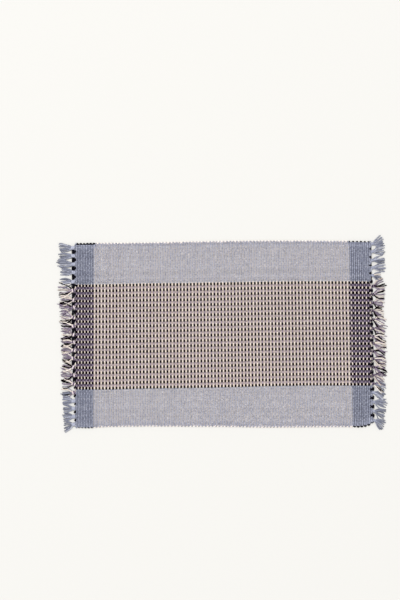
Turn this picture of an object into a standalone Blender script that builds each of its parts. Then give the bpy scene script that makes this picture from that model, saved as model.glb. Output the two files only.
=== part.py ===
"""A handwoven, ribbed placemat with a knotted fringe on each end, lying flat.

Units are metres here and millimetres in the tables. X runs along the warp, from fringe
to fringe, Y runs across the bands and Z points up. The origin lies on the surface under
the middle of the cloth.
"""

import math

import bmesh
import bpy
from mathutils import Vector

MM = 0.001

# The cloth: a thick weft in each rib, and fine warp floats over it.
RIBS = 174
THICKNESS = 2.6
GROOVE = 0.5  # depth of the groove between two ribs
WARPS = 365
SELVEDGE_WARPS = 3  # over these the cloth rounds down to its long edges
SELVEDGE_HEIGHT = 1.4
SCALLOP = 0.4  # each weft turns round this far past the long edge
END_HEIGHT = 1.9
RIM_INSET = 1.2  # the underside starts this far in from the outline
CORE_INSET = 22  # and its one large face this far
CORE_RIBS = 29  # ribs between two points of that face

# Where ribs of the weave lie, measured at both long edges.
RIB_LINES = [
    dict(rib=0, top=-242.6, bottom=-242.3),
    dict(rib=11, top=-212.8, bottom=-213.6),
    dict(rib=163, top=205.6, bottom=211.7),
    dict(rib=174, top=240.6, bottom=243.4),
]

# The cloth's long edges and the two lines between its bands, along its length.
COURSES = [
    dict(x=-243, top=150.5, upper=82.4, lower=-90.3, bottom=-152.9),
    dict(x=-222, top=150.6, upper=82.4, lower=-90.4, bottom=-153.5),
    dict(x=-193, top=150.9, upper=82.8, lower=-90.6, bottom=-151.3),
    dict(x=-128, top=151.3, upper=84.2, lower=-88.8, bottom=-150.3),
    dict(x=-62, top=152.8, upper=84.9, lower=-88.0, bottom=-150.8),
    dict(x=4, top=154.1, upper=86.0, lower=-86.8, bottom=-151.0),
    dict(x=63, top=154.6, upper=87.0, lower=-85.2, bottom=-152.3),
    dict(x=135, top=154.6, upper=87.8, lower=-83.9, bottom=-151.7),
    dict(x=200, top=154.1, upper=87.8, lower=-83.9, bottom=-151.4),
    dict(x=220, top=153.8, upper=87.7, lower=-83.9, bottom=-152.3),
    dict(x=231, top=153.6, upper=87.6, lower=-84.0, bottom=-151.3),
    dict(x=238, top=153.5, upper=87.5, lower=-84.0, bottom=-149.0),
    dict(x=244, top=153.4, upper=87.5, lower=-84.1, bottom=-144.5),
]
BAND_LINES = [
    dict(warp=0, course="top"),
    dict(warp=81, course="upper"),
    dict(warp=287, course="lower"),
    dict(warp=365, course="bottom"),
]

# The fringe: warp ends gathered from a narrow strip, knotted, and fanned out in locks.
GAP = 0.3
STRIP_WIDTH = 1.3
STRIP_HEIGHT = 2.2
STRIP_INSET = 0.6  # the strip stops this far short of the cloth's corners
ROOT_WIDTH = 10.0
ROOT_SHIFT = 0.35  # share of a knot's shift that its root takes
# Sections of one gathered end, from the strip to the back of its knot.
KNOT_SECTIONS = [
    dict(along=-2.2, width=2.8, low=0.5, high=2.6),
    dict(along=-1.3, width=4.9, low=0.1, high=4.0),
    dict(along=1.1, width=5.1, low=0.0, high=4.1),
    dict(along=2.1, width=4.2, low=0.0, high=3.4),
]
FACETS_APART = 1.1  # between the middles of neighbouring facets of a knot
FACET_KEPT = 0.5  # share of the knot's facet that a lock starts from
LOCK_WIDTH = 2.8
LOCK_HEIGHT = 1.5
LOCK_APART = 0.5
LOCK_SEGMENTS = 4
LOCK_TIP = 0.65  # share of its width that a lock keeps at its tip
LOCK_LENGTHS = (1.0, 0.92, 0.97, 0.9, 1.03, 0.95)
CURL = 0.35  # share of its lean that a tassel lacks at the knot and gains by the tips
WAVE = 5  # degrees that a lock swings to each side of its way
# The locks of a tassel: where each stands in the fan, how much of the half fan parts it
# from the next in its layer, and the level that it rests on.
LOCKS = [
    dict(across=1.0, parted=1.0, floor=0.0),
    dict(across=0.0, parted=1.0, floor=0.0),
    dict(across=-1.0, parted=1.0, floor=0.0),
    dict(across=0.8, parted=0.72, floor=2.0),
    dict(across=0.08, parted=0.72, floor=2.0),
    dict(across=-0.64, parted=0.72, floor=2.0),
]

# One row for each tassel from the top: how far its knot is above its even place, how far
# out from the cloth's end, the way it leans up, its half fan, and its length past the knot.
TASSEL_COLUMNS = ("shift", "out", "lean", "fan", "length")
LEFT_TASSELS = [
    (-1.3, 6.0, -3, 13, 21.9),
    (-0.3, 5.2, -4, 8, 24.0),
    (-0.6, 5.2, 5, 9, 24.6),
    (0.0, 4.9, 10, 10, 21.6),
    (-1.6, 5.6, -8, 11, 19.5),
    (-2.2, 5.2, 1, 10, 25.0),
    (-4.2, 4.9, -3, 9, 22.1),
    (-2.2, 4.9, -1, 9, 24.2),
    (-5.2, 5.1, 10, 14, 21.0),
    (-5.5, 4.9, 6, 11, 22.2),
    (-5.8, 4.8, 9, 11, 21.8),
    (-4.3, 4.9, 6, 11, 20.4),
    (-3.6, 4.8, 6, 11, 19.8),
    (-2.9, 5.6, 9, 11, 18.0),
    (-3.7, 5.6, 12, 11, 18.9),
    (-3.1, 4.9, 9, 12, 20.7),
    (-3.7, 4.8, 6, 12, 19.8),
    (-4.0, 4.8, 2, 12, 20.0),
    (-3.9, 4.8, 3, 12, 19.2),
    (-2.5, 4.8, 2, 13, 18.1),
    (-1.9, 4.9, 1, 14, 17.4),
    (-1.0, 4.9, -14, 18, 17.4),
]
RIGHT_TASSELS = [
    (2.4, 4.9, 19, 17, 18.6),
    (3.3, 4.9, 13, 12, 18.5),
    (2.7, 4.9, 11, 12, 20.0),
    (4.1, 5.5, 4, 13, 18.8),
    (4.7, 5.0, -9, 14, 13.0),
    (1.0, 4.8, 15, 12, 19.2),
    (1.1, 4.9, 10, 12, 19.4),
    (0.9, 4.9, -6, 13, 18.1),
    (1.5, 4.9, -21, 13, 17.2),
    (0.4, 4.8, -24, 12, 19.5),
    (-1.0, 5.2, -19, 11, 20.6),
    (-0.2, 4.8, -16, 11, 19.7),
    (2.0, 4.9, -15, 10, 20.0),
    (2.8, 4.8, -18, 11, 20.5),
    (3.7, 4.8, -20, 11, 20.4),
    (3.9, 4.8, -24, 12, 20.0),
    (4.0, 4.8, -27, 12, 19.3),
    (3.5, 4.8, -26, 12, 20.2),
    (2.9, 4.8, -24, 12, 18.4),
    (1.0, 4.8, -17, 13, 19.0),
    (-0.5, 4.8, -20, 13, 18.5),
    (-2.1, 5.3, -30, 17, 18.8),
]

CLOTH_COLOUR = (0.33, 0.29, 0.30)
FRINGE_COLOUR = (0.34, 0.35, 0.40)


def between(rows, key, value, column):
    """The column's value where the key has this value, on a straight line between rows."""
    for low, high in zip(rows, rows[1:]):
        if value <= high[key] or high is rows[-1]:
            share = (value - low[key]) / (high[key] - low[key])
            return low[column] + (high[column] - low[column]) * share


def place(rib, warp):
    """The point of the outline's plane where a rib crosses a warp, counted from the top left."""
    down = warp / WARPS
    x = between(RIB_LINES, "rib", rib, "top") * (1 - down)
    x += between(RIB_LINES, "rib", rib, "bottom") * down
    for low, high in zip(BAND_LINES, BAND_LINES[1:]):
        if warp <= high["warp"]:
            share = (warp - low["warp"]) / (high["warp"] - low["warp"])
            y = between(COURSES, "x", x, low["course"]) * (1 - share)
            y += between(COURSES, "x", x, high["course"]) * share
            return x, y


def stitch(bm, upper, lower):
    """Triangles between two rows of points that run the same way."""
    i = j = 0
    while i < len(upper) - 1 or j < len(lower) - 1:
        next_upper = (i + 1) / (len(upper) - 1)
        next_lower = (j + 1) / (len(lower) - 1)
        if next_upper <= next_lower:
            bm.faces.new((upper[i], upper[i + 1], lower[j]))
            i += 1
        else:
            bm.faces.new((upper[i], lower[j + 1], lower[j]))
            j += 1


def finish(name, bm, colour):
    """A scene object from the bmesh, in metres, with its own material."""
    bmesh.ops.recalc_face_normals(bm, faces=bm.faces)
    bmesh.ops.scale(bm, vec=(MM, MM, MM), verts=bm.verts)
    mesh = bpy.data.meshes.new(name)
    bm.to_mesh(mesh)
    bm.free()
    material = bpy.data.materials.new(name)
    material.use_nodes = True
    shader = material.node_tree.nodes["Principled BSDF"]
    shader.inputs["Base Color"].default_value = (*colour, 1)
    shader.inputs["Roughness"].default_value = 0.95
    shader.inputs["Metallic"].default_value = 0
    mesh.materials.append(material)
    piece = bpy.data.objects.new(name, mesh)
    bpy.context.scene.collection.objects.link(piece)
    return piece


def woven_cloth():
    """The flat sheet: a grid with a crest and a groove for each rib, closed underneath."""
    bm = bmesh.new()
    half_ribs = 2 * RIBS
    warps = [0, SELVEDGE_WARPS, 81, 287, WARPS - SELVEDGE_WARPS, WARPS]
    bmesh.ops.create_grid(bm, x_segments=half_ribs, y_segments=len(warps) - 1, size=1)
    rows = [[None] * (half_ribs + 1) for _ in warps]
    for vert in bm.verts:
        i = round((vert.co.x + 1) / 2 * half_ribs)
        j = round((1 - vert.co.y) / 2 * (len(warps) - 1))
        rows[j][i] = vert
    for j, warp in enumerate(warps):
        edge = -1 if warp == WARPS else 1 if warp == 0 else 0
        for i, vert in enumerate(rows[j]):
            x, y = place(i / 2, warp)
            crest = i % 2
            z = SELVEDGE_HEIGHT if edge else THICKNESS
            if i in (0, half_ribs):
                z = min(z, END_HEIGHT)
            elif not crest:
                z -= GROOVE * (0.4 if edge else 1)
            vert.co = (x, y + edge * SCALLOP * (crest - 0.5), z)

    # The underside is flat: a rim with a point at each rib, and one large face inside it.
    rim = outline(bm, range(RIBS + 1), RIM_INSET)
    core = outline(bm, range(0, RIBS + 1, CORE_RIBS), CORE_INSET)
    sides = [
        rows[0],
        [row[-1] for row in rows],
        rows[-1],
        [row[0] for row in rows],
    ]
    for side, rim_side, core_side in zip(sides, rim, core):
        stitch(bm, side, rim_side)
        stitch(bm, rim_side, core_side)
    top, right, bottom, left = core
    bm.faces.new(top + right[1:] + bottom[-2::-1] + left[-2:0:-1])
    return finish("woven_cloth", bm, CLOTH_COLOUR)


def outline(bm, ribs, inset):
    """New points on the surface, this far inside the cloth: its top, right, bottom and left side."""

    def point(rib, warp):
        x, y = place(rib, warp)
        if rib in (0, RIBS):
            x -= math.copysign(inset, x)
        if warp in (0, WARPS):
            y -= math.copysign(inset, y)
        return bm.verts.new((x, y, 0))

    top = [point(rib, 0) for rib in ribs]
    bottom = [point(rib, WARPS) for rib in ribs]
    middle = [line["warp"] for line in BAND_LINES[1:-1]]
    left = [top[0], *(point(0, warp) for warp in middle), bottom[0]]
    right = [top[-1], *(point(RIBS, warp) for warp in middle), bottom[-1]]
    return top, right, bottom, left


def push(bm, face, corners, points):
    """The face pushed out to new points, one for each corner, with a wall behind it."""
    made = bmesh.ops.extrude_discrete_faces(bm, faces=[face])["faces"][0]
    moved = [min(made.verts, key=lambda v: (v.co - c.co).length) for c in corners]
    for vert, point in zip(moved, points):
        vert.co = point
    return made, moved


def end_x(side, y):
    """Where the cloth's left or right end runs, at this height of the mat."""
    rib = RIBS if side > 0 else 0
    (x_top, y_top), (x_bottom, y_bottom) = place(rib, 0), place(rib, WARPS)
    return x_top + (x_bottom - x_top) * (y_top - y) / (y_top - y_bottom)


def strip(bm, side, stations):
    """A narrow strip along the cloth's end. Returns its outer corners at each station."""
    profile = [
        (GAP, 0),
        (GAP + STRIP_WIDTH, 0),
        (GAP + STRIP_WIDTH, STRIP_HEIGHT / 2),
        (GAP + STRIP_WIDTH, STRIP_HEIGHT),
        (GAP, STRIP_HEIGHT),
    ]

    def section(y):
        return [Vector((end_x(side, y) + side * out, y, z)) for out, z in profile]

    first = [bm.verts.new(point) for point in section(stations[0])]
    face = bm.faces.new(first)
    rows = [first]
    for y in stations[1:]:
        face, corners = push(bm, face, rows[-1], section(y))
        rows.append(corners)
    bm.faces.new(first)
    return [row[1:4] for row in rows]


def hexagon(centre, heading, side, width, low, high):
    """A flattened section square to the heading: the upper side's corners, then the lower's."""
    across = Vector((-math.sin(heading) * side, math.cos(heading), 0))
    half = width / 2
    middle = (low + high) / 2
    upper = [(0.62 * half, low), (half, middle), (0.62 * half, high)]
    lower = [(-offset, z) for offset, z in reversed(upper)]
    return [centre + across * offset + Vector((0, 0, z)) for offset, z in upper + lower]


def step(heading, side, length):
    return Vector((math.cos(heading) * side, math.sin(heading), 0)) * length


def lock(bm, corners, side, row, facts, length, phase):
    """A loose lock of warp ends, from its facet on the knot to its cut tip."""
    face = bm.faces.get(corners)
    middle = sum((corner.co for corner in corners), Vector()) / 3
    kept = [middle.lerp(corner.co, FACET_KEPT) for corner in corners]
    face, corners = push(bm, face, corners, kept)
    at = Vector((middle.x, middle.y, 0))
    floor = facts["floor"]
    widening = math.tan(math.radians(row["fan"] * facts["parted"]))
    for i in range(1, LOCK_SEGMENTS + 1):
        share = i / LOCK_SEGMENTS
        turn = row["lean"] * (1 - CURL + 2 * CURL * (share - 0.5 / LOCK_SEGMENTS))
        turn += row["fan"] * facts["across"]
        turn += WAVE * math.sin(2 * math.pi * (share + phase))
        heading = math.radians(turn)
        at = at + step(heading, side, length / LOCK_SEGMENTS)
        room = FACETS_APART + share * length * widening
        width = min(LOCK_WIDTH, room - LOCK_APART)
        height = LOCK_HEIGHT
        if i == LOCK_SEGMENTS:
            width *= LOCK_TIP
            height *= LOCK_TIP
        sideways = Vector((-math.sin(heading) * side, math.cos(heading), 0)) * (width / 2)
        points = [
            at + sideways + Vector((0, 0, floor)),
            at - sideways + Vector((0, 0, floor)),
            at + Vector((0, 0, floor + height)),
        ]
        face, corners = push(bm, face, corners, points)


def tassel(bm, side, upper, lower, root, row, number):
    """Warp ends drawn together from the strip into a knot, and its loose locks."""
    corners = [*upper, *lower[::-1]]
    quads = [
        bm.faces.get((upper[k], upper[k + 1], lower[k + 1], lower[k])) for k in range(2)
    ]
    face = bmesh.ops.dissolve_faces(bm, faces=quads)["region"][0]
    knot_y = root - ROOT_SHIFT * row["shift"] + row["shift"]
    knot = Vector((end_x(side, knot_y) + side * row["out"], knot_y, 0))
    heading = math.radians(row["lean"] * (1 - CURL))
    for section in KNOT_SECTIONS:
        centre = knot + step(heading, side, section["along"])
        points = hexagon(
            centre, heading, side, section["width"], section["low"], section["high"]
        )
        face, corners = push(bm, face, corners, points)
    facets = bmesh.ops.poke(bm, faces=[face])["faces"]
    middle = next(vert for vert in facets[0].verts if vert not in corners)
    upper_low, upper_mid, upper_high, lower_high, lower_mid, lower_low = corners
    starts = [
        (upper_mid, upper_low, middle),
        (upper_low, lower_low, middle),
        (lower_low, lower_mid, middle),
        (upper_mid, middle, upper_high),
        (upper_high, middle, lower_high),
        (middle, lower_mid, lower_high),
    ]
    for k, (start, facts) in enumerate(zip(starts, LOCKS)):
        share = LOCK_LENGTHS[(number + k) % len(LOCK_LENGTHS)]
        length = (row["length"] - KNOT_SECTIONS[-1]["along"]) * share
        phase = 0.618 * number + 0.05 * k
        lock(bm, start, side, row, facts, length, phase)


def fringe(name, side, table):
    """One end's strip with all its tassels."""
    rows = [dict(zip(TASSEL_COLUMNS, values)) for values in table]
    rib = RIBS if side > 0 else 0
    top, bottom = place(rib, 0)[1], place(rib, WARPS)[1]
    pitch = (top - bottom) / len(rows)
    roots = [
        top - pitch * (i + 0.5) + ROOT_SHIFT * row["shift"] for i, row in enumerate(rows)
    ]
    stations = [top - STRIP_INSET]
    for root in roots:
        stations += [root + ROOT_WIDTH / 2, root - ROOT_WIDTH / 2]
    stations.append(bottom + STRIP_INSET)
    bm = bmesh.new()
    outer = strip(bm, side, stations)
    for i, (root, row) in enumerate(zip(roots, rows)):
        tassel(bm, side, outer[2 * i + 1], outer[2 * i + 2], root, row, i)
    # The locks twist a little from their knots, so each wall folds along its short way.
    bmesh.ops.triangulate(bm, faces=bm.faces, quad_method="SHORT_EDGE")
    return finish(name, bm, FRINGE_COLOUR)


for old in list(bpy.data.objects):
    bpy.data.objects.remove(old, do_unlink=True)
woven_cloth()
fringe("fringe_left", -1, LEFT_TASSELS)
fringe("fringe_right", 1, RIGHT_TASSELS)
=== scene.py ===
"""A handwoven, ribbed placemat with a knotted fringe on each end, lying flat on a pale floor.

Every yarn is laid as a yarn: the warp floats over and under the thick weft ribs and goes
on into the knotted fringe. X runs along the warp, Y across the bands and Z up. Lengths
are in millimetres until a piece is finished, and the origin lies on the floor under the
middle of the cloth.
"""

import math

import bmesh
import bpy
import numpy as np
from mathutils import Matrix


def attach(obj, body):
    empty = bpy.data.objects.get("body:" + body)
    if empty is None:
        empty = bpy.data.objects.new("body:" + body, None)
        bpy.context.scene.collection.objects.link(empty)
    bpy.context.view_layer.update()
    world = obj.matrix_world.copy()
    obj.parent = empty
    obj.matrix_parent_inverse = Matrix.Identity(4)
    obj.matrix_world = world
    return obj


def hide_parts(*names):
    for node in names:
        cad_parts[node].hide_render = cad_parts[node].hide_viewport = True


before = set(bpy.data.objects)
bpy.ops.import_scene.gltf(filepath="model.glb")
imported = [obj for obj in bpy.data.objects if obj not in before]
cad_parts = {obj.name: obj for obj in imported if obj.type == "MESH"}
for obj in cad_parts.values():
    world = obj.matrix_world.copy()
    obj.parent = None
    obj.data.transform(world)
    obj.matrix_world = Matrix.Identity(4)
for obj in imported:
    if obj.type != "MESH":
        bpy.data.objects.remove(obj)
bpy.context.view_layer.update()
RANDOM = np.random.default_rng(7)
MM = 0.001

# ---------------------------------------------------------------- the cloth's plan

RIBS = 174
WARPS = 373
END_RIBS = 11  # ribs of dark weft at each end
# Where the outermost ribs lie at both long edges, and where the dark weft turns to cream.
RIB_LINES = [
    dict(rib=0, top=-242.6, bottom=-242.3),
    dict(rib=11, top=-212.8, bottom=-213.6),
    dict(rib=163, top=205.6, bottom=211.7),
    dict(rib=174, top=240.6, bottom=243.4),
]
# The cloth's long edges and the two lines between its bands, along its length.
COURSES = [
    dict(x=-243, top=150.5, upper=82.4, lower=-89.4, bottom=-152.9),
    dict(x=-222, top=150.6, upper=82.4, lower=-89.5, bottom=-153.5),
    dict(x=-193, top=150.9, upper=82.8, lower=-89.7, bottom=-151.3),
    dict(x=-128, top=151.3, upper=84.2, lower=-87.9, bottom=-150.3),
    dict(x=-62, top=152.8, upper=84.9, lower=-87.1, bottom=-150.8),
    dict(x=4, top=154.1, upper=86.0, lower=-85.9, bottom=-151.0),
    dict(x=63, top=154.6, upper=87.0, lower=-84.3, bottom=-152.3),
    dict(x=135, top=154.6, upper=87.8, lower=-83.0, bottom=-151.7),
    dict(x=200, top=154.1, upper=87.8, lower=-83.0, bottom=-151.4),
    dict(x=220, top=153.8, upper=87.7, lower=-83.0, bottom=-152.3),
    dict(x=231, top=153.6, upper=87.6, lower=-83.1, bottom=-151.3),
    dict(x=238, top=153.5, upper=87.5, lower=-83.1, bottom=-149.0),
    dict(x=244, top=153.4, upper=87.5, lower=-83.2, bottom=-144.5),
]
# The warp's stripes, from the top edge: each repeats its colours down to the next. down is
# the share of the cloth's width above a stripe; the middle one is of a finer yarn.
BANDS = [
    dict(warp=0, down=0.0, course="top", colours=("blue",)),
    dict(warp=65, down=0.22, course="upper", colours=("cream", "black") * 3 + ("mauve",) * 6),
    dict(warp=311, down=0.787, course="lower", colours=("blue",)),
    dict(warp=373, down=1.0, course="bottom", colours=()),
]
# Along each long edge, on the dark weft at the left, the cream one and the dark weft at the
# right: how far in the warps stop, which bares the weft's turns, half a turn's thickness,
# and the share of a rib that it spans to each side of the fold it rounds.
BARE = [
    dict(warp=0, part="left", shown=3.4, thick=1.25, span=0.66),
    dict(warp=0, part="middle", shown=0.9, thick=0.92, span=0.5),
    dict(warp=0, part="right", shown=2.0, thick=1.0, span=0.42),
    dict(warp=WARPS, part="left", shown=1.5, thick=0.9, span=0.42),
    dict(warp=WARPS, part="middle", shown=0.9, thick=0.92, span=0.5),
    dict(warp=WARPS, part="right", shown=2.8, thick=1.15, span=0.66),
]
BARE_WARPS = 11  # how many warps crowd together to leave it bare

# ---------------------------------------------------------------- the weave

MIDDLE = 1.3  # height of the weave's middle plane
FOLD = 1.2  # and of the fold between two ribs
WEFT_HIGH = 0.72  # from the middle plane to a weft rib's crest
RIB_SHAPE = (0.04, 0.78, 1.0, 0.78)  # shares of it at the fold and three steps on from it
GROUND_ROWS = 16  # faces across the weft's sheet
EDGE_ROWS = np.array((0.4, 0.9, 2.2))  # warps at which these crowd by a long edge
EDGE_ROUND = (0.25, 0.75)  # shares of its height that a rib keeps on the outer two
TURN_IN = 1.45  # how far in from where the warps stop a turn of weft starts
TURN_OUT = 1.6  # and how much more than what shows of it comes out from there
TURN_UNEVEN = 0.08  # how much the turns vary in place and in thickness
FLOAT_BASE = (0.04, 1.94)  # height of a float's underside, beneath the weft and on top
FLOAT_TALL = 0.64  # and a float's own height
FLOAT_UNEVEN = 0.04  # how much the floats vary in place, in height and in width
PLIES = 2  # that a yarn is twisted from
YARN_SHADE = 0.6  # how much the shade changes from yarn to yarn
FLOAT_SHADE = 0.85  # and from float to float besides
PAINTED_SHADE_MOST = 0.85  # how much darker painted shade makes a yarn where it lies deepest
# Half the width of a float on the even and on the odd warps, as a share of the warps'
# spacing, how much paler the odd ones are, and the share of a rib that a float lies level to
# each side of its crest, on the cream weft and on the dark. Every other mauve yarn is finer
# and darker.
FLOATS = dict(
    blue=dict(even=0.915, odd=0.915, odd_shade=0.0, reach=0.37, end_reach=0.37),
    cream=dict(even=0.95, odd=0.95, odd_shade=0.0, reach=0.36, end_reach=0.3),
    black=dict(even=1.24, odd=1.24, odd_shade=0.0, reach=0.46, end_reach=0.49),
    mauve=dict(even=0.92, odd=0.6, odd_shade=-3.6, reach=0.37, end_reach=0.37),
)
LOOSE_SPACING = 1.0  # warps further apart than this let the dark weft show between them
DIVE = 0.1  # share of a rib within which a yarn goes from the weft's top to its underside
UNDER_WIDE = 0.6  # how wide a yarn is under the weft, as a share of a float's width
POINT_UP = math.pi / 2  # the turn that puts a three-sided section's point on top

# ---------------------------------------------------------------- the fringe

KNOT_HIGH = 2.02  # height of a knot's middle
KNOT_LAYERS = (1.1, 2.8, 1.95)  # and of the strands that go into it, in turn
KNOT_WRAPS = (-1.0, -0.5, 0.0, 0.5, 1.0)  # where its wraps lie along it
WRAP_THICK = 0.66
WRAP_RISE = 1.34  # how far a wrap goes above and below the knot's middle
WRAP_SLANT = 0.72  # and how far along the knot it leans to each side
ROOT_SHIFT = 0.35  # share of its knot's shift that a tassel's root makes
CURL = 0.35  # share of its lean that a tassel lacks at the knot and gains by the tips
# The loose strands part this much wider than a tassel's half fan at the knot, and come
# back nearly level with each other by their tips. Tassels of mixed colours are bushier.
SPREAD = dict(plain=(2.8, 0.3), mixed=(4.0, 0.3))
LOCK_TURN = 2.5  # degrees that a lock may turn from its place in the fan
STRAND_TURN = 2.2  # and that a strand of it may turn besides
STRAYS = dict(plain=2, mixed=6)  # how many strands of a tassel stray
STRAY_TURN = 5  # and how many times further than the others they turn
WAVE = 7  # degrees that a lock swings to each side of its way
CRIMP = 5  # and that a strand of it swings besides
TIPS_IN = 1.8  # how much shorter the loose strands are than the solid's
CUT = dict(uneven=0.09, least=0.75, most=1.25)  # how evenly they are cut
STRAND_START = 0.7  # how many ribs inside the cloth a strand starts
STRAND_SECTIONS = 18  # from there through the knot to the tip
STRAND_THICK = dict(blue=0.74, cream=0.78, black=0.76, mauve=0.5)
STRAND_WIDE = 1.25  # half a strand's width as a share of its thickness here
STRAND_TALL = 0.85  # and half its height
STRAND_SHADE = 2.4  # how much the shade changes from strand to strand
FRINGE_PAINTED_SHADE = 0.14  # painted shade on all of the fringe, knots too
# How much painted shade a loose strand gets at least, how much more it may get at random,
# and how much more where it lies lower than STRAND_LOW.
STRAND_PAINTED_SHADE = dict(least=0.03, more=0.32, low=0.4)
STRAND_LOW = 1.9
THREAD_THICK = 0.72  # half the thickness of the dark threads in the gaps, partly real weft and partly painted shade
THREAD_PITCH = 1.05  # how far apart they lie
THREAD_TAPER = (0.5, 0.9, 1, 1, 1, 0.9, 0.5)
# How high they rise: over the warps, up to so far out from the cloth's end, and past that.
THREAD_RISE = dict(over=1.75, up_to=0.8, out=0.9)
PICK_WIDE, PICK_TALL = 0.84, 0.75  # half the width and half the height of the last pick
# Where the locks of a tassel stand in its fan, and the layer that each leaves the knot in.
LOCKS = [
    dict(across=1.0, layer=0),
    dict(across=0.62, layer=1),
    dict(across=0.2, layer=0),
    dict(across=-0.22, layer=1),
    dict(across=-0.6, layer=0),
    dict(across=-1.0, layer=1),
]
# How far beside the lock's middle each of its strands lies, and how far above the others.
IN_LOCK = [(-0.52, 0.0), (0.52, 0.0), (0.0, 0.86), (-1.3, 0.1)]
# One row for each tassel from the top: how far its knot is above its even place, how far
# out from the cloth's end, the way it leans up, its half fan, its length past the knot,
# and how far the dark end threads fill the gap above it, partly as real dark weft and partly
# as painted shade between the tassels.
TASSEL_COLUMNS = ("shift", "out", "lean", "fan", "length", "filled")
LEFT_TASSELS = [
    (-1.3, 6.0, -1, 9, 21.9, 0.0),
    (-0.3, 5.2, -4, 8, 24.0, 6.6),
    (-0.6, 5.2, 5, 9, 24.6, 6.6),
    (0.0, 4.9, 10, 10, 21.6, 6.6),
    (-1.6, 5.6, -8, 11, 19.5, 6.6),
    (-2.2, 5.2, 1, 12, 25.0, 6.6),
    (-4.2, 4.9, -3, 11, 22.1, 6.6),
    (-2.2, 4.9, -1, 11, 24.2, 6.6),
    (-5.2, 5.1, 10, 17, 21.0, 6.6),
    (-5.5, 4.9, 6, 13, 22.2, 6.6),
    (-5.8, 4.8, 9, 13, 21.8, 6.6),
    (-4.3, 4.9, 6, 13, 20.4, 6.6),
    (-3.6, 4.8, 6, 13, 19.8, 6.6),
    (-2.9, 5.6, 9, 13, 18.0, 6.6),
    (-3.7, 5.6, 12, 13, 18.9, 6.6),
    (-3.1, 4.9, 9, 14, 20.7, 5.3),
    (-3.7, 4.8, 6, 14, 19.8, 5.3),
    (-4.0, 4.8, 2, 12, 20.0, 3.2),
    (-3.9, 4.8, 3, 12, 19.2, 3.2),
    (-2.5, 4.8, 2, 13, 18.1, 2.7),
    (-1.9, 4.9, 1, 14, 17.4, 3.2),
    (-1.0, 4.9, -14, 18, 17.4, 2.7),
]
RIGHT_TASSELS = [
    (2.4, 4.9, 19, 17, 18.6, 0.0),
    (3.3, 4.9, 13, 12, 18.5, -0.5),
    (2.7, 4.9, 11, 12, 20.0, -0.3),
    (4.1, 5.5, 4, 13, 18.8, -0.1),
    (4.7, 5.0, -9, 14, 13.0, 0.2),
    (1.0, 4.8, 15, 14, 19.2, 2.8),
    (1.1, 4.9, 10, 14, 19.4, 3.0),
    (0.9, 4.9, -6, 16, 18.1, 3.0),
    (1.5, 4.9, -21, 16, 17.2, 3.0),
    (0.4, 4.8, -24, 14, 19.5, 3.0),
    (-1.0, 5.2, -19, 13, 20.6, 2.8),
    (-0.2, 4.8, -16, 13, 19.7, 3.0),
    (2.0, 4.9, -15, 12, 20.0, 3.0),
    (2.8, 4.8, -18, 13, 20.5, 3.0),
    (3.7, 4.8, -20, 13, 20.4, 3.2),
    (3.9, 4.8, -24, 14, 20.0, 3.2),
    (4.0, 4.8, -27, 14, 19.3, 3.0),
    (3.5, 4.8, -26, 12, 20.2, 3.6),
    (2.9, 4.8, -24, 12, 18.4, 3.4),
    (1.0, 4.8, -17, 13, 19.0, 3.4),
    (-0.5, 4.8, -20, 13, 18.5, 3.4),
    (-2.1, 5.3, -30, 17, 18.8, 3.4),
]
# knot is half a knot's width, knot_long half its length, and knot_in how much nearer the
# cloth it is than the solid's own. wraps are the yarns that bind it, and knot_shade is how
# much paler they look there. over is how wide the last pick shows over the warps in a gap,
# and inward is how far in over the cloth the dark threads start.
ENDS = [
    dict(
        name="left",
        side=-1,
        knot=2.7,
        knot_long=2.8,
        knot_in=0.9,
        knot_shade=0.8,
        wraps=("cream", "mauve", "black", "mauve"),
        over=1.8,
        inward=0.0,
        tassels=LEFT_TASSELS,
    ),
    dict(
        name="right",
        side=1,
        knot=1.9,
        knot_long=2.2,
        knot_in=2.0,
        knot_shade=-1.0,
        wraps=("black", "black", "mauve"),
        over=2.4,
        inward=2.4,
        tassels=RIGHT_TASSELS,
    ),
]



def column(rows, key):
    return [row[key] for row in rows]


def place(rib, warp):
    """Where ribs cross warps on the floor's plane, both counted from the top left."""
    rib, warp = np.broadcast_arrays(np.asarray(rib, float), np.asarray(warp, float))
    ribs = column(RIB_LINES, "rib")
    down = np.interp(warp, column(BANDS, "warp"), column(BANDS, "down"))
    x = np.interp(rib, ribs, column(RIB_LINES, "top")) * (1 - down)
    x += np.interp(rib, ribs, column(RIB_LINES, "bottom")) * down
    along = column(COURSES, "x")
    lines = [np.interp(x, along, column(COURSES, band["course"])) for band in BANDS]
    y = lines[0]
    for low, high, first, last in zip(lines, lines[1:], BANDS, BANDS[1:]):
        share = (warp - first["warp"]) / (last["warp"] - first["warp"])
        y = np.where(share >= 0, low + (high - low) * share, y)
    return x, y


def bare(rib, warp):
    """How much of the weft shows past the warps at this rib of the long edge at this warp."""
    ribs = (0, END_RIBS, END_RIBS + 1, RIBS - END_RIBS - 1, RIBS - END_RIBS, RIBS)
    left, middle, right = (row["shown"] for row in BARE if row["warp"] == warp)
    return np.interp(rib, ribs, (left, left, middle, middle, right, right))


def crowding(rib, warp):
    """How far the yarns here are drawn in from the nearest long edge."""
    shift = 0.0
    for edge, way in ((0, -1), (WARPS, 1)):
        near = np.clip(1 - np.abs(warp - edge) / BARE_WARPS, 0, 1)
        shift = shift + way * bare(rib, edge) * near**2
    return shift


def warp_colours():
    """The colour of each warp, from the top edge."""
    colours = []
    for band, after in zip(BANDS, BANDS[1:]):
        for warp in range(after["warp"] - band["warp"]):
            colours.append(band["colours"][warp % len(band["colours"])])
    return np.array(colours)


# ---------------------------------------------------------------- yarns

APART = 10  # spacing of straight yarns before they are laid


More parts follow.
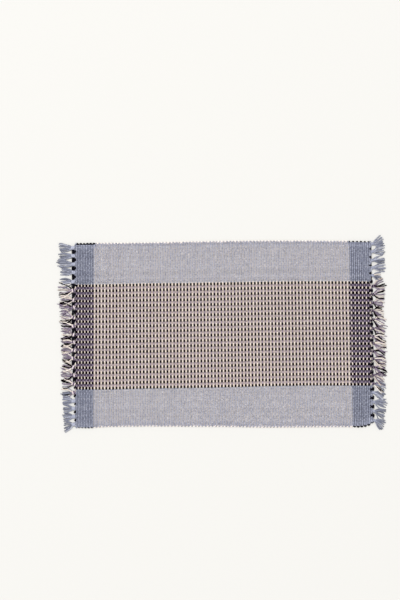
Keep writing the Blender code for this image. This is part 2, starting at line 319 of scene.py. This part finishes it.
def straight_yarns(count, sections, sides):
    """Closed yarns of radius 1 in one mesh: X counts sections, and Z goes up by APART a yarn."""
    bm = bmesh.new()
    length = sections - 1
    bmesh.ops.create_cone(
        bm, cap_ends=True, segments=sides, radius1=1, radius2=1, depth=length
    )
    bmesh.ops.rotate(bm, verts=bm.verts, matrix=Matrix.Rotation(math.pi / 2, 3, "Y"))
    bmesh.ops.translate(bm, verts=bm.verts, vec=(length / 2, 0, 0))
    lengthwise = [e for e in bm.edges if abs(e.verts[0].co.x - e.verts[1].co.x) > 0.5]
    bmesh.ops.subdivide_edges(bm, edges=lengthwise, cuts=sections - 2)
    mesh = bpy.data.meshes.new("yarn")
    bm.to_mesh(mesh)
    bm.free()
    yarn = bpy.data.objects.new("yarn", mesh)
    bpy.context.scene.collection.objects.link(yarn)
    copies = yarn.modifiers.new("copies", "ARRAY")
    copies.use_relative_offset = False
    copies.use_constant_offset = True
    copies.constant_offset_displace = (0, 0, APART)
    copies.count = count
    bpy.context.view_layer.update()
    graph = bpy.context.evaluated_depsgraph_get()
    made = bpy.data.meshes.new_from_object(yarn.evaluated_get(graph))
    bpy.data.objects.remove(yarn, do_unlink=True)
    bpy.data.meshes.remove(mesh)
    return made


def yarns(name, path, wide, tall, sides=4, turn=0.0, upright=False, shade=0.0, deep=0.0):
    """A piece of many yarns laid on their paths: an array of yarn, section and point.

    wide and tall are half a section's width and height, turn twists it round its path, and
    upright keeps it plumb where the path climbs. shade makes it paler than the yarn's own, and
    the last argument is painted shade: how dark it is painted where it lies out of the light.
    """
    path = np.asarray(path, float)
    count, sections = path.shape[:2]
    mesh = straight_yarns(count, sections, sides)
    corners = read(mesh, "vertices", "co", 3)
    yarn = np.rint(corners[:, 2] / APART).astype(int)
    section = np.rint(corners[:, 0]).astype(int)
    across, up = corners[:, 1], corners[:, 2] - APART * yarn
    ahead = np.gradient(path, axis=1)
    run = np.linalg.norm(ahead, axis=2, keepdims=True)
    ahead = ahead / np.maximum(run, 1e-9)
    plumb = np.broadcast_to((0.0, 0.0, 1.0), ahead.shape)
    sideways = np.cross(plumb, ahead)
    sideways /= np.maximum(np.linalg.norm(sideways, axis=2, keepdims=True), 1e-9)
    lift = plumb if upright else np.cross(ahead, sideways)
    wide, tall, turn, shade, deep = (
        np.broadcast_to(np.asarray(v, float), (count, sections))[yarn, section]
        for v in (wide, tall, turn, shade, deep)
    )
    beside = (across * np.cos(turn) - up * np.sin(turn)) * wide
    above = (across * np.sin(turn) + up * np.cos(turn)) * tall
    points = path[yarn, section]
    points = points + sideways[yarn, section] * beside[:, None]
    points += lift[yarn, section] * above[:, None]
    mesh.vertices.foreach_set("co", (points * MM).ravel())
    steps = np.linalg.norm(np.diff(path, axis=1), axis=2)
    along = np.concatenate([np.zeros((count, 1)), np.cumsum(steps, axis=1)], axis=1)
    around = np.stack([across, up, along[yarn, section]], axis=1)
    note(mesh, around, YARN_SHADE * RANDOM.normal(0, 1, count)[yarn] + shade, deep)
    mesh.shade_smooth()
    return piece_of(name, mesh)


def note(mesh, around, shade, deep):
    """What the finishes read: the place round and along the yarn, its shade, and its painted
    shade.
    """
    layer = mesh.attributes.new("around", "FLOAT_VECTOR", "POINT")
    layer.data.foreach_set("vector", around.ravel())
    for name, values in (("shade", shade), ("deep", deep)):
        layer = mesh.attributes.new(name, "FLOAT", "POINT")
        layer.data.foreach_set("value", values)


def read(mesh, items, what, size):
    found = getattr(mesh, items)
    values = np.empty(len(found) * size, np.float32)
    found.foreach_get(what, values)
    return values.reshape(-1, size).astype(float)


def piece_of(name, mesh):
    mesh.name = name
    mesh.update()
    piece = bpy.data.objects.new(name, mesh)
    bpy.context.scene.collection.objects.link(piece)
    return piece


# ---------------------------------------------------------------- the cloth


def warp_paths(warps, tone):
    """The way of each of these warps over and under the ribs, two sections a rib."""
    ribs = np.arange(RIBS)
    at_end = (ribs < END_RIBS) | (ribs >= RIBS - END_RIBS)
    reach = np.where(at_end, FLOATS[tone]["end_reach"], FLOATS[tone]["reach"]).repeat(2)
    on_top = (np.repeat(ribs, 2)[None, :] + warps[:, None]) % 2 == 0
    shoulder = np.tile((-1, 1), RIBS) * np.where(on_top, reach, 1 - reach - DIVE)
    inside = 0.02  # keeps the outermost sections within the cloth
    rib = np.clip(np.repeat(ribs, 2) + 0.5 + shoulder, inside, RIBS - inside)
    x, y = place(rib, warps[:, None] + 0.5)
    uneven = np.repeat(RANDOM.normal(0, 1, (len(warps), RIBS, 4)), 2, axis=1)
    y = y + crowding(rib, warps[:, None] + 0.5) + FLOAT_UNEVEN * uneven[:, :, 0]
    z = np.where(on_top, FLOAT_BASE[1], FLOAT_BASE[0]) + FLOAT_TALL / 2
    z = z + FLOAT_UNEVEN * uneven[:, :, 1] * on_top
    spacing = place(rib, warps[:, None])[1] - place(rib, warps[:, None] + 1)[1]
    spacing = np.where(at_end.repeat(2), np.minimum(spacing, LOOSE_SPACING), spacing)
    wide = np.where(warps % 2 == 0, FLOATS[tone]["even"], FLOATS[tone]["odd"])[:, None]
    wide = wide * spacing * (1 + FLOAT_UNEVEN * uneven[:, :, 2])
    wide = wide * np.where(on_top, 1, UNDER_WIDE)
    shade = FLOAT_SHADE * uneven[:, :, 3]
    shade = shade + FLOATS[tone]["odd_shade"] * (warps % 2)[:, None]
    # Painted shade where a warp dives under the weft, fading out towards the tops of its floats.
    return np.stack([x, y, z], axis=2), wide, shade, ~on_top


def warp_piece(name, tone, warps):
    path, wide, shade, deep = warp_paths(warps, tone)
    # With its point up, a third of a three-sided section is below its path.
    path[:, :, 2] -= FLOAT_TALL / 2 - FLOAT_TALL / 3
    return yarns(
        name,
        path,
        wide / math.cos(math.pi / 6),
        FLOAT_TALL / 1.5,
        sides=3,
        turn=POINT_UP,
        upright=True,
        shade=shade,
        deep=deep,
    )


def weft_ground():
    """The weft's ribs as one closed sheet: a crest for each rib and a fold between two."""
    bm = bmesh.new()
    steps_a_rib = len(RIB_SHAPE)
    columns, rows = steps_a_rib * RIBS, GROUND_ROWS
    for level in (-1, 1):
        bmesh.ops.create_grid(
            bm,
            x_segments=columns,
            y_segments=rows,
            size=1,
            matrix=Matrix.Translation((0, 0, level)),
        )
    bmesh.ops.reverse_faces(bm, faces=[f for f in bm.faces if f.verts[0].co.z < 0])
    edges = [e for e in bm.edges if e.is_boundary]
    bmesh.ops.bridge_loops(bm, edges=edges)
    bmesh.ops.recalc_face_normals(bm, faces=bm.faces)
    mesh = bpy.data.meshes.new("weft_ground")
    bm.to_mesh(mesh)
    bm.free()
    corners = read(mesh, "vertices", "co", 3)
    step = np.rint((corners[:, 0] + 1) / 2 * columns)
    row = np.rint((1 - corners[:, 1]) / 2 * rows).astype(int)
    # Rows crowd at the long edges, where the ribs round down.
    inner = np.linspace(5, WARPS - 5, rows + 1 - 2 * len(EDGE_ROWS))
    warps = np.concatenate([EDGE_ROWS, inner, WARPS - EDGE_ROWS[::-1]])
    round_off = np.ones(rows + 1)
    round_off[[0, -1]], round_off[[1, -2]] = EDGE_ROUND
    rib, within = step / steps_a_rib, step.astype(int) % steps_a_rib
    x, y = place(rib, warps[row])
    y = y + crowding(rib, warps[row])
    crest = np.array(RIB_SHAPE)[within]
    middle = np.where(within == 0, FOLD, MIDDLE)
    z = middle + corners[:, 2] * WEFT_HIGH * crest * round_off[row]
    mesh.vertices.foreach_set("co", (np.stack([x, y, z], axis=1) * MM).ravel())
    around = np.stack([2 * within / steps_a_rib - 1, corners[:, 2] * crest, y], axis=1)
    shade = RANDOM.normal(0, 1, RIBS + 1)[rib.astype(int)]
    note(mesh, around, shade, deep=np.zeros(len(shade)))
    mesh.shade_smooth()
    ground = piece_of("weft_ground", mesh)
    mesh.materials.append(FINISHES["cream_weft"])
    mesh.materials.append(FINISHES["dark_weft"])
    centres = read(mesh, "polygons", "center", 3) / MM
    slots = np.zeros(len(mesh.polygons), np.int32)
    top, bottom = place(0, 0)[1], place(0, WARPS)[1]
    down = (top - centres[:, 1]) / (top - bottom)
    for rib, dark_side in ((END_RIBS, -1), (RIBS - END_RIBS, 1)):
        x_top, x_bottom = place(rib, 0)[0], place(rib, WARPS)[0]
        line = x_top + (x_bottom - x_top) * down
        slots[(centres[:, 0] - line) * dark_side > 0] = 1
    mesh.polygons.foreach_set("material_index", slots)
    mesh.update()
    return ground


def part_at(turn):
    """Which part of a long edge the fold after this many ribs is in."""
    if turn <= END_RIBS:
        return "left"
    return "right" if turn >= RIBS - END_RIBS else "middle"


def selvedge_turns(dark):
    """Where the weft turns back into the next rib, along both long edges."""
    paths, thick = [], []
    for row in BARE:
        if (row["part"] != "middle") != dark:
            continue
        edge = row["warp"]
        out = 1 if edge == 0 else -1
        first = 1 if edge == 0 else 2
        for turn in range(first, RIBS + 1, 2):
            if part_at(turn) != row["part"]:
                continue
            x, y = place(turn, edge)
            pitch = x - place(turn - 1, edge)[0]
            angle = np.linspace(0, math.pi, 9)
            across = -row["span"] * pitch * np.cos(angle)
            # Its legs come out of the cloth and its bow stands a little past the edge.
            bow = (row["shown"] + TURN_OUT) * np.sin(angle) ** 0.7
            along = bow - row["shown"] - row["thick"] - TURN_IN
            lift = 0.12 * np.sin(angle)
            path = np.stack([x + across, y + out * along, MIDDLE + lift], axis=1)
            paths.append(path + TURN_UNEVEN * RANDOM.normal(0, 1, path.shape))
            thick.append(row["thick"] * (1 + TURN_UNEVEN * RANDOM.normal()))
    name = "dark_selvedge" if dark else "cream_selvedge"
    thick = np.array(thick)[:, None]
    return yarns(name, np.array(paths), thick, np.minimum(thick, 1.0), sides=6)


# ---------------------------------------------------------------- the fringe's yarns


def end_line(side, y):
    """Where the cloth's left or right end runs, at this height of the mat."""
    rib = RIBS if side > 0 else 0
    (x_top, y_top), (x_bottom, y_bottom) = place(rib, 0), place(rib, WARPS)
    return x_top + (x_bottom - x_top) * (y_top - y) / (y_top - y_bottom)


def tassel_rows(end):
    """The end's table with each tassel's root, knot and warps worked out."""
    rows = [dict(zip(TASSEL_COLUMNS, values)) for values in end["tassels"]]
    side = end["side"]
    rib = RIBS if side > 0 else 0
    top, bottom = float(place(rib, 0)[1]), float(place(rib, WARPS)[1])
    pitch = (top - bottom) / len(rows)
    numbers = np.arange(WARPS)
    tassels = np.floor((top - place(rib, numbers + 0.5)[1]) / pitch)
    for i, row in enumerate(rows):
        row["number"] = i
        row["side"] = side
        row["root"] = top - pitch * (i + 0.5) + ROOT_SHIFT * row["shift"]
        row["knot_y"] = top - pitch * (i + 0.5) + row["shift"]
        out = row["out"] - end["knot_in"]
        row["knot_x"] = float(end_line(side, row["knot_y"])) + side * out
        row["half"] = end["knot"]
        row["long"] = end["knot_long"]
        row["loose"] = row["length"] + end["knot_in"] - end["knot_long"] - TIPS_IN
        row["warps"] = numbers[tassels == i]
    return rows


def ease(share):
    share = np.clip(share, 0, 1)
    return share * share * (3 - 2 * share)


def heading_of(row):
    """The way that a tassel leaves the cloth, and the way across it, on the floor's plane."""
    angle = math.radians(row["lean"] * (1 - CURL))
    side = row["side"]
    ahead = np.array((math.cos(angle) * side, math.sin(angle)))
    return ahead, np.array((-math.sin(angle) * side, math.cos(angle)))


def lock_of_each(row, tones):
    """The lock that each strand of a tassel is in."""
    # Strands of one colour mostly leave the knot together, and the locks change places.
    ranks = np.unique(tones, return_inverse=True)[1] + 0.25 * RANDOM.normal(0, 1, len(tones))
    order = np.argsort(np.argsort(ranks))
    shuffled = RANDOM.permutation(len(LOCKS))
    if row["number"] % 2 and "cream" in tones:
        # Cream strands, the second of the three kinds, often lie along a tassel's side.
        outermost = np.flatnonzero(shuffled == 0)[0]
        shuffled[[1, outermost]] = shuffled[[outermost, 1]]
    return shuffled[(order * len(LOCKS)) // len(tones)]


def strand_paths(row, tones):
    """The way of each warp of one tassel, from inside the cloth through its knot to its tip."""
    side, warps, half = row["side"], row["warps"], row["half"]
    rib = RIBS if side > 0 else 0
    count = len(warps)
    kind = "mixed" if "cream" in tones else "plain"
    lock = lock_of_each(row, tones)
    slot = np.array([np.sum(lock[:i] == lock[i]) for i in range(count)])
    beside, raised = np.array(IN_LOCK)[slot].T
    across = np.array(column(LOCKS, "across"))[lock]
    layer = np.array(column(LOCKS, "layer"))[lock]

    x0, y0 = place(rib, warps + 0.5)
    inside = place(rib - side * STRAND_START, warps + 0.5)[0]
    ahead, sideways = heading_of(row)
    knot = np.array((row["knot_x"], row["knot_y"]))
    # They come into the knot side by side, in three layers, and leave it in their locks.
    back_z = np.array(KNOT_LAYERS)[np.arange(count) % len(KNOT_LAYERS)]
    gathered = np.linspace(1, -1, count) * 0.8 * half
    back = knot + sideways * gathered[:, None] - ahead * row["long"]
    parted = (across + 0.3 * beside) * 0.85 * half
    front = knot + sideways * parted[:, None] + ahead * row["long"]
    front_z = 0.9 + 1.5 * layer + 0.9 * raised
    start = np.stack([x0, y0], axis=1)
    points = [np.column_stack([inside, y0, np.full(count, MIDDLE)])]
    points.append(np.column_stack([start, np.full(count, MIDDLE)]))
    for share in (0.35, 0.7, 1.0):
        flat = start + (back - start) * share
        points.append(np.column_stack([flat, MIDDLE + (back_z - MIDDLE) * share]))
    points.append(np.column_stack([(back + front) / 2, (back_z + front_z) / 2]))
    points.append(np.column_stack([front, front_z]))

    # Past the knot each strand goes on in short steps, each lock and strand a way of its own.
    left = STRAND_SECTIONS - len(points)
    cut = 1 + CUT["uneven"] * RANDOM.normal(0, 1, count)
    length = row["loose"] * np.clip(cut, CUT["least"], CUT["most"])
    at = front
    lock_turn = RANDOM.normal(0, LOCK_TURN, len(LOCKS))[lock]
    lock_wave = RANDOM.random(len(LOCKS))[lock]
    stray = RANDOM.normal(0, STRAND_TURN, count)
    stray[RANDOM.integers(0, count, STRAYS[kind])] *= STRAY_TURN
    own_wave = RANDOM.random(count)
    rest = 0.5 + raised + 0.35 * layer
    at_knot, at_tips = SPREAD[kind]
    for step in range(1, left + 1):
        share = step / left
        turn = row["lean"] * (1 - CURL + 2 * CURL * (share - 0.5 / left))
        opened = at_knot + (at_tips - at_knot) * share
        turn = turn + opened * row["fan"] * across + lock_turn
        turn = turn + stray * math.sin(math.pi * share * 0.8)
        turn = turn + WAVE * np.sin(2 * math.pi * (1.3 * share + lock_wave))
        turn = turn + CRIMP * np.sin(2 * math.pi * (3.1 * share + own_wave))
        angle = np.radians(turn)
        ahead_now = np.stack([np.cos(angle) * side, np.sin(angle)], axis=1)
        at = at + ahead_now * (length / left)[:, None]
        z = front_z + (rest - front_z) * ease(share / 0.5)
        points.append(np.column_stack([at, z]))
    return np.stack(points, axis=1)


def knot_paths(row):
    """The wraps of one knot, side by side round its strands."""
    ahead, sideways = heading_of(row)
    middle = np.array((row["knot_x"], row["knot_y"]))
    overlap = 0.3  # of a wrap's two ends, in radians
    angle = np.linspace(-overlap, 2 * math.pi + overlap, STRAND_SECTIONS)
    slant = WRAP_SLANT if row["number"] % 2 else -WRAP_SLANT
    paths = []
    for share in KNOT_WRAPS:
        along = share * (row["long"] - 0.5) + slant * np.cos(angle)
        round_off = 1 - 0.12 * share * share
        across = row["half"] * round_off * np.cos(angle)
        flat = middle + ahead * along[:, None] + sideways * across[:, None]
        height = KNOT_HIGH + WRAP_RISE * round_off * np.sin(angle)
        paths.append(np.column_stack([flat, height]))
    return np.array(paths)


def fringe_pieces(end):
    """One piece for each yarn colour of this end's fringe."""
    colours = warp_colours()
    by_tone = {}
    for row in tassel_rows(end):
        tones = colours[row["warps"]]
        for tone, path in zip(tones, strand_paths(row, tones)):
            strand = dict(path=path, thick=STRAND_THICK[tone], shade=0.0, loose=1.0)
            by_tone.setdefault(tone, []).append(strand)
        wraps = ["blue"] if np.mean(tones == "blue") > 0.5 else end["wraps"]
        chosen = [wraps[(k + row["number"]) % len(wraps)] for k in range(len(KNOT_WRAPS))]
        for tone, path in zip(chosen, knot_paths(row)):
            wrap = dict(path=path, thick=WRAP_THICK, shade=end["knot_shade"], loose=0.0)
            by_tone.setdefault(tone, []).append(wrap)
    pieces = []
    for tone, strands in by_tone.items():
        path = np.array(column(strands, "path"))
        thick = np.array(column(strands, "thick"))[:, None]
        # loose is 1 for a strand and 0 for a knot's wrap.
        loose = np.array(column(strands, "loose"))[:, None]
        path[:, :, 2] = np.maximum(path[:, :, 2], STRAND_WIDE * thick)
        shade = STRAND_SHADE * RANDOM.normal(0, 1, len(strands))[:, None] * loose
        shade = shade + np.array(column(strands, "shade"))[:, None]
        # Painted shade on the loose strands: a little on each, more on some at random, and more
        # where they lie low.
        deep = STRAND_PAINTED_SHADE["least"] + STRAND_PAINTED_SHADE["more"] * RANDOM.random(len(strands))[:, None]
        low = STRAND_PAINTED_SHADE["low"] * np.clip(1 - path[:, :, 2] / STRAND_LOW, 0, 1)
        # Strands are squeezed in their knot and thin out at their tips.
        taper = np.ones((len(strands), STRAND_SECTIONS))
        taper[:, -1] = 0.7
        taper[:, 4:7] -= 0.3 * loose
        twist = 1.2 * np.arange(STRAND_SECTIONS) + 3 * RANDOM.random(len(strands))[:, None]
        piece = yarns(
            f"{end['name']}_fringe_{tone}",
            path,
            STRAND_WIDE * thick * taper,
            STRAND_TALL * thick * taper,
            turn=twist,
            shade=shade,
            deep=FRINGE_PAINTED_SHADE + (deep + low) * loose,
        )
        piece.data.materials.append(FINISHES[tone])
        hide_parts(f"fringe_{end['name']}")
        pieces.append(piece)
    return pieces


def end_threads_and_painted_shade(end):
    """The dark weft at this end of the cloth: its last pick, and loops of it in the gaps, partly
    real weft and partly painted shade between the tassels.
    """
    rows = tassel_rows(end)
    side = end["side"]
    gaps, paths = [], []
    for above, below in zip(rows, rows[1:]):
        filled = below["filled"] + end["inward"]
        upper, lower = above["knot_y"], below["knot_y"]
        middle = (above["root"] + below["root"]) / 2
        gaps.append((middle, RANDOM.uniform(0.55, 1.1)))
        picks = round(filled / THREAD_PITCH)
        for pick in range(picks):
            out = filled * (pick + 0.3) / picks - end["inward"]
            # A loop is no wider than its gap, and short where the gap is shallow.
            room = (upper - lower) / 2 - above["half"] + 0.4
            half = min(1.3 + 0.8 * abs(out), room, 0.33 * filled**1.5)
            sag = 0.4 + 0.2 * RANDOM.normal()
            t = np.linspace(-1, 1, len(THREAD_TAPER))
            centre = middle + ((upper + lower) / 2 - middle) * np.clip(out / 4, 0, 1)
            y = centre + half * t
            x = end_line(side, y) + side * (out - 0.2 + sag * (1 - t * t))
            rise = THREAD_RISE["over" if out < THREAD_RISE["up_to"] else "out"]
            z = 1.0 + rise * (1 - t**4) + 0.1 * (pick % 2)
            paths.append(np.stack([x, y, z], axis=1))
    thick = THREAD_THICK * np.array(THREAD_TAPER)
    loops = yarns(f"{end['name']}_end_threads", np.array(paths), thick, thick)
    # The last pick lies over the warps in the gaps, and under them at the tassels' roots.
    rib = RIBS if side > 0 else 0
    y = np.linspace(place(rib, 0)[1] - 1.5, place(rib, WARPS)[1] + 1.5, 260)
    over = np.zeros(len(y))
    for middle, strength in gaps:
        over = np.maximum(over, strength * np.exp(-(((y - middle) / end["over"]) ** 2)))
    x = end_line(side, y) + side * (0.1 + 0.35 * over) + 0.08 * RANDOM.normal(0, 1, len(y))
    z = 1.05 + 1.45 * over
    path = np.stack([x, y, z], axis=1)[None]
    pick = yarns(f"{end['name']}_last_pick", path, PICK_WIDE, PICK_TALL, sides=6)
    for piece in (loops, pick):
        piece.data.materials.append(FINISHES["dark_weft"])
        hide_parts(f"fringe_{end['name']}")
    return [loops, pick]


# ---------------------------------------------------------------- finishes

# How much the plies, the fibres, the mottling and a yarn's own shade change its tone.
TONES = dict(plies=0.10, fibres=0.6, mottle=0.3, shade=0.13)
FIBRE_SCALE = (2.2, 2.2, 0.55)  # fibres to a millimetre across a yarn, and along it
MOTTLE_SCALE = 330.0  # patches to a metre
BUMP_DEEP = 0.0002
ROUGH = (0.78, 0.2)  # the least, and how much more between the fibres


def yarn_finish(name, colour, fleck, variation=0.10, gloss=0.2, twist=4.5):
    """Spun cotton: twisted plies, flecks of fibre, fuzz, and a shade of its own for each yarn.

    variation is how much darker than its colour a yarn may be in places, and twist is the
    length of one turn of its plies in millimetres. Painted shade darkens its colour further
    where the yarn lies deep.
    """
    material = bpy.data.materials.new(name)
    material.use_nodes = True
    tree = material.node_tree
    tree.nodes.clear()

    def fill(socket, value):
        if isinstance(value, bpy.types.NodeSocket):
            tree.links.new(value, socket)
        else:
            socket.default_value = value

    def add(kind, **inputs):
        made = tree.nodes.new(kind)
        for key, value in inputs.items():
            fill(made.inputs[key.replace("_", " ")], value)
        return made

    def maths(operation, *values, kind="ShaderNodeMath"):
        made = tree.nodes.new(kind)
        made.operation = operation
        for socket, value in zip(made.inputs, values):
            fill(socket, value)
        return made.outputs[0]

    def noted(layer):
        made = tree.nodes.new("ShaderNodeAttribute")
        made.attribute_name = layer
        return made.outputs

    around = noted("around")["Vector"]
    shade = noted("shade")["Fac"]
    deep = noted("deep")["Fac"]
    split = add("ShaderNodeSeparateXYZ", Vector=around)
    angle = maths("ARCTAN2", split.outputs["Y"], split.outputs["X"])
    turned = maths("MULTIPLY", angle, float(PLIES))
    spiral = maths("MULTIPLY_ADD", split.outputs["Z"], PLIES * 2 * math.pi / twist, turned)
    plies = maths("SINE", spiral)

    # Fibres run along the yarn. Each yarn's are its own, as its shade shifts them far.
    own = maths("MULTIPLY", shade, 37.0)
    shifted = maths("ADD", around, own, kind="ShaderNodeVectorMath")
    stretched = add("ShaderNodeMapping", Vector=shifted, Scale=FIBRE_SCALE).outputs[0]
    noise = add("ShaderNodeTexNoise", Vector=stretched, Scale=1.0, Detail=3.0)
    fibres = noise.outputs["Fac"]
    position = tree.nodes.new("ShaderNodeTexCoord").outputs["Object"]
    noise = add(
        "ShaderNodeTexNoise", Vector=position, Scale=MOTTLE_SCALE, Detail=2.0, Roughness=0.6
    )
    mottle = noise.outputs["Fac"]
    tone = maths("MULTIPLY", plies, TONES["plies"])
    for noise, most in ((fibres, TONES["fibres"]), (mottle, TONES["mottle"])):
        tone = maths("ADD", tone, maths("MULTIPLY_ADD", noise, most, -most / 2))
    tone = maths("ADD", tone, maths("MULTIPLY", shade, TONES["shade"]))
    ramp = tree.nodes.new("ShaderNodeValToRGB")
    ramp.color_ramp.elements[0].color = (*(c * (1 - 2.2 * variation) for c in colour), 1)
    ramp.color_ramp.elements[1].color = (*fleck, 1)
    middle = ramp.color_ramp.elements.new(0.5)
    middle.color = (*colour, 1)
    tree.links.new(maths("ADD", tone, 0.5), ramp.inputs[0])
    # Painted shade: the colour is darkened where a yarn lies deep, out of the light.
    painted_shade_gain = maths("MULTIPLY_ADD", deep, -PAINTED_SHADE_MOST, 1.0)
    dyed_and_painted_shade = maths("MULTIPLY", ramp.outputs["Color"], painted_shade_gain, kind="ShaderNodeVectorMath")

    height = maths("MULTIPLY_ADD", plies, 0.6, fibres)
    bump = add("ShaderNodeBump", Strength=0.8, Distance=BUMP_DEEP, Height=height)
    rough = maths("MULTIPLY_ADD", fibres, ROUGH[1], ROUGH[0])
    shader = add(
        "ShaderNodeBsdfPrincipled",
        Base_Color=dyed_and_painted_shade,
        Roughness=rough,
        Normal=bump.outputs["Normal"],
        Specular_IOR_Level=gloss,
        Sheen_Weight=gloss / 2,
        Sheen_Roughness=0.5,
        Sheen_Tint=(*fleck, 1),
    )
    out = tree.nodes.new("ShaderNodeOutputMaterial")
    tree.links.new(shader.outputs[0], out.inputs["Surface"])
    return material


def floor_finish():
    material = bpy.data.materials.new("pale_floor")
    material.use_nodes = True
    shader = material.node_tree.nodes["Principled BSDF"]
    shader.inputs["Base Color"].default_value = (0.638, 0.637, 0.626, 1)
    shader.inputs["Roughness"].default_value = 0.9
    shader.inputs["Specular IOR Level"].default_value = 0.1
    return material


FINISHES = {
    "blue": yarn_finish("blue_cotton", (0.36, 0.383, 0.502), (0.588, 0.609, 0.718), 0.18),
    "cream": yarn_finish("cream_cotton", (0.97, 0.86, 0.785), (0.98, 0.93, 0.88)),
    "black": yarn_finish(
        "black_cotton", (0.003, 0.001, 0.002), (0.009, 0.005, 0.007), gloss=0.05
    ),
    "mauve": yarn_finish("mauve_cotton", (0.319, 0.252, 0.365), (0.454, 0.373, 0.487), 0.14),
    "cream_weft": yarn_finish("cream_weft_cotton", (0.805, 0.695, 0.562), (0.83, 0.757, 0.655)),
    "dark_weft": yarn_finish(
        "dark_weft_cotton", (0.004, 0.0035, 0.008), (0.012, 0.012, 0.02), gloss=0.05
    ),
}

# ---------------------------------------------------------------- camera and light

camera = bpy.data.objects.new("camera", bpy.data.cameras.new("camera"))
camera.data.lens = 85
camera.data.sensor_width = 36
camera.data.clip_start = 0.01
camera.location = (-0.039, 0.057, 2.324)
bpy.context.scene.collection.objects.link(camera)
bpy.context.scene.camera = camera
bpy.context.scene.view_settings.view_transform = "Standard"

bm = bmesh.new()
bmesh.ops.create_grid(bm, x_segments=1, y_segments=1, size=3)
floor_mesh = bpy.data.meshes.new("floor")
bm.to_mesh(floor_mesh)
bm.free()
floor = piece_of("floor", floor_mesh)
floor_mesh.materials.append(floor_finish())

softbox = bpy.data.lights.new("softbox", "AREA")
softbox.shape = "RECTANGLE"
softbox.size = 6.0
softbox.size_y = 6.0
softbox.energy = 1830
softbox.color = (1.0, 0.985, 0.96)
lamp = bpy.data.objects.new("softbox", softbox)
lamp.location = (-4.4, 5.6, 14.4)
lamp.rotation_euler = (-0.356, -0.297, 0)
bpy.context.scene.collection.objects.link(lamp)

world = bpy.data.worlds.new("studio")
world.use_nodes = True
world.node_tree.nodes["Background"].inputs["Color"].default_value = (1.0, 0.99, 0.97, 1)
world.node_tree.nodes["Background"].inputs["Strength"].default_value = 0.88
bpy.context.scene.world = world

# ---------------------------------------------------------------- the mat

colours = warp_colours()
numbers = np.arange(WARPS)
upper = numbers < WARPS / 2
pieces = []
for name, tone, chosen in (
    ("upper_blue_warps", "blue", numbers[(colours == "blue") & upper]),
    ("lower_blue_warps", "blue", numbers[(colours == "blue") & ~upper]),
    ("cream_warps", "cream", numbers[colours == "cream"]),
    ("black_warps", "black", numbers[colours == "black"]),
    ("upper_mauve_warps", "mauve", numbers[(colours == "mauve") & upper]),
    ("lower_mauve_warps", "mauve", numbers[(colours == "mauve") & ~upper]),
):
    piece = warp_piece(name, tone, chosen)
    piece.data.materials.append(FINISHES[tone])
    pieces.append(piece)
for dark in (False, True):
    piece = selvedge_turns(dark)
    piece.data.materials.append(FINISHES["dark_weft" if dark else "cream"])
    pieces.append(piece)
ground = weft_ground()
for piece in [ground, *pieces]:
    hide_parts("woven_cloth")
for end in ENDS:
    pieces += fringe_pieces(end)
    pieces += end_threads_and_painted_shade(end)
for piece in [ground, *pieces]:
    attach(piece, "root")
